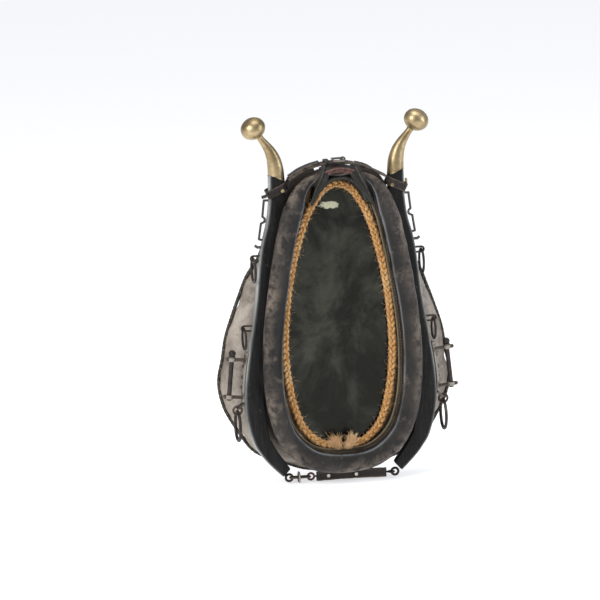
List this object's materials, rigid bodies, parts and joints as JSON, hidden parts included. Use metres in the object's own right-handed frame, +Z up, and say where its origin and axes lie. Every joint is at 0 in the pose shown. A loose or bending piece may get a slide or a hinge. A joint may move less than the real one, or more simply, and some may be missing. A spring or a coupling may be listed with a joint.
{
  "type": "horse collar mirror",
  "caption": "Working-horse collar with ball-ended hames, rings, draft bolts and straps, its opening filled by an oval mirror with a rope edge; hangs on a wall.",
  "frame": {"origin": "middle of the hanger plate's hole, on the centre plane, behind the mirror's upper part", "axes": "+Z up, front of the collar faces -Y, +X to the right as seen from the front"},
  "size_m": [0.4597, 0.1325, 0.7171],
  "materials": {
    "leather_roll": "charcoal-brown harness leather, worn",
    "leather_body": "dusty taupe-brown leather",
    "leather_strap": "dark brown strap leather",
    "leather_red": "reddish-brown layered leather",
    "straw": "packed straw and horsehair under its cover",
    "lining": "brownish-green lining cloth",
    "hame_wood": "near-black painted hardwood, worn grey along the edge",
    "brass": "satin antique brass",
    "iron": "dark forged iron with bright worn spots",
    "rope": "three-strand jute rope",
    "mirror": "aged dark mirror",
    "board": "plain backing board",
    "steel": "zinc-plated hanger"
  },
  "bodies": {
    "root": {"backing_board": "board", "body_leather": "leather_body", "body_lining": "lining", "body_pad": "straw", "brass_horn_left": "brass", "brass_horn_right": "brass", "draft_lug_left": "iron", "draft_lug_right": "iron", "forewale_core": "straw", "forewale_leather": "leather_roll", "hame_buckle_frame": "iron", "hame_end_eye_left": "iron", "hame_end_eye_right": "iron", "hame_left": "hame_wood", "hame_loop_left": "leather_strap", "hame_loop_right": "leather_strap", "hame_right": "hame_wood", "hame_strap": "leather_strap", "hame_strap_keeper": "leather_strap", "hame_strap_tail": "leather_strap", "hanger_plate": "steel", "hanger_screws": "steel", "loop_rivets": "brass", "lower_staples": "iron", "lug_screws": "iron", "middle_staples": "iron", "mirror_glass": "mirror", "ratchet_wire_left": "iron", "ratchet_wire_right": "iron", "rear_binding": "leather_body", "rope_end_left": "rope", "rope_end_right": "rope", "rope_trim": "rope", "strap_end_keeper": "brass", "strap_flap": "leather_strap", "stub_hook_left": "iron", "stub_hook_right": "iron", "top_arch_leather": "leather_strap", "top_cap_leather": "leather_red", "top_cap_pad": "leather_red", "upper_staples": "iron"},
    "bottom_chain": {"bottom_d_ring": "iron", "bottom_eye": "iron", "bottom_link": "iron", "bottom_strap": "leather_strap", "bottom_strap_loop": "iron", "bottom_strap_rivets": "iron"},
    "draft_bolt_left": {"draft_bolt_left": "iron"},
    "draft_bolt_right": {"draft_bolt_right": "iron"},
    "buckle_tongue": {"hame_buckle_tongue": "iron"},
    "lower_link_left": {"lower_link_left": "iron"},
    "lower_link_right": {"lower_link_right": "iron"},
    "lower_ring_left": {"lower_ring_left": "iron"},
    "lower_ring_right": {"lower_ring_right": "iron"},
    "middle_ring_left": {"middle_ring_left": "iron"},
    "middle_ring_right": {"middle_ring_right": "iron"},
    "upper_ring_left": {"upper_ring_left": "iron"},
    "upper_ring_right": {"upper_ring_right": "iron"}
  },
  "joints": [
    {"name": "upper_ring_left_swing", "type": "hinge", "parent": "root", "child": "upper_ring_left", "pos_m": [-0.163, -0.0131, -0.0559], "axis": [0, 1, 0], "range_deg": [-2, 110]},
    {"name": "middle_ring_left_swing", "type": "hinge", "parent": "root", "child": "middle_ring_left", "pos_m": [-0.184, -0.0131, -0.1908], "axis": [0, 1, 0], "range_deg": [-6, 110]},
    {"name": "lower_link_left_swing", "type": "hinge", "parent": "root", "child": "lower_link_left", "pos_m": [-0.2, -0.0131, -0.3451], "axis": [0, 1, 0], "range_deg": [-5, 50]},
    {"name": "lower_ring_left_swing", "type": "hinge", "parent": "lower_link_left", "child": "lower_ring_left", "pos_m": [-0.2, -0.0131, -0.3517], "axis": [0, 1, 0], "range_deg": [-4, 60]},
    {"name": "draft_bolt_left_lift", "type": "slide", "parent": "root", "child": "draft_bolt_left", "axis": [0.0961, 0, 0.9954], "range_m": [0, 0.065]},
    {"name": "upper_ring_right_swing", "type": "hinge", "parent": "root", "child": "upper_ring_right", "pos_m": [0.163, -0.0131, -0.0559], "axis": [0, -1, 0], "range_deg": [-2, 110]},
    {"name": "middle_ring_right_swing", "type": "hinge", "parent": "root", "child": "middle_ring_right", "pos_m": [0.184, -0.0131, -0.1908], "axis": [0, -1, 0], "range_deg": [-6, 110]},
    {"name": "lower_link_right_swing", "type": "hinge", "parent": "root", "child": "lower_link_right", "pos_m": [0.2, -0.0131, -0.3451], "axis": [0, -1, 0], "range_deg": [-5, 50]},
    {"name": "lower_ring_right_swing", "type": "hinge", "parent": "lower_link_right", "child": "lower_ring_right", "pos_m": [0.2, -0.0131, -0.3517], "axis": [0, -1, 0], "range_deg": [-4, 60]},
    {"name": "draft_bolt_right_lift", "type": "slide", "parent": "root", "child": "draft_bolt_right", "axis": [-0.0961, 0, 0.9954], "range_m": [0, 0.065]},
    {"name": "buckle_tongue_lift", "type": "hinge", "parent": "root", "child": "buckle_tongue", "pos_m": [0.0125, -0.0209, 0.1282], "axis": [0, 1, 0], "range_deg": [0, 100]},
    {"name": "bottom_chain_swing", "type": "hinge", "parent": "root", "child": "bottom_chain", "pos_m": [0, -0.0131, -0.4865], "axis": [1, 0, 0], "range_deg": [-20, 20]}
  ]
}
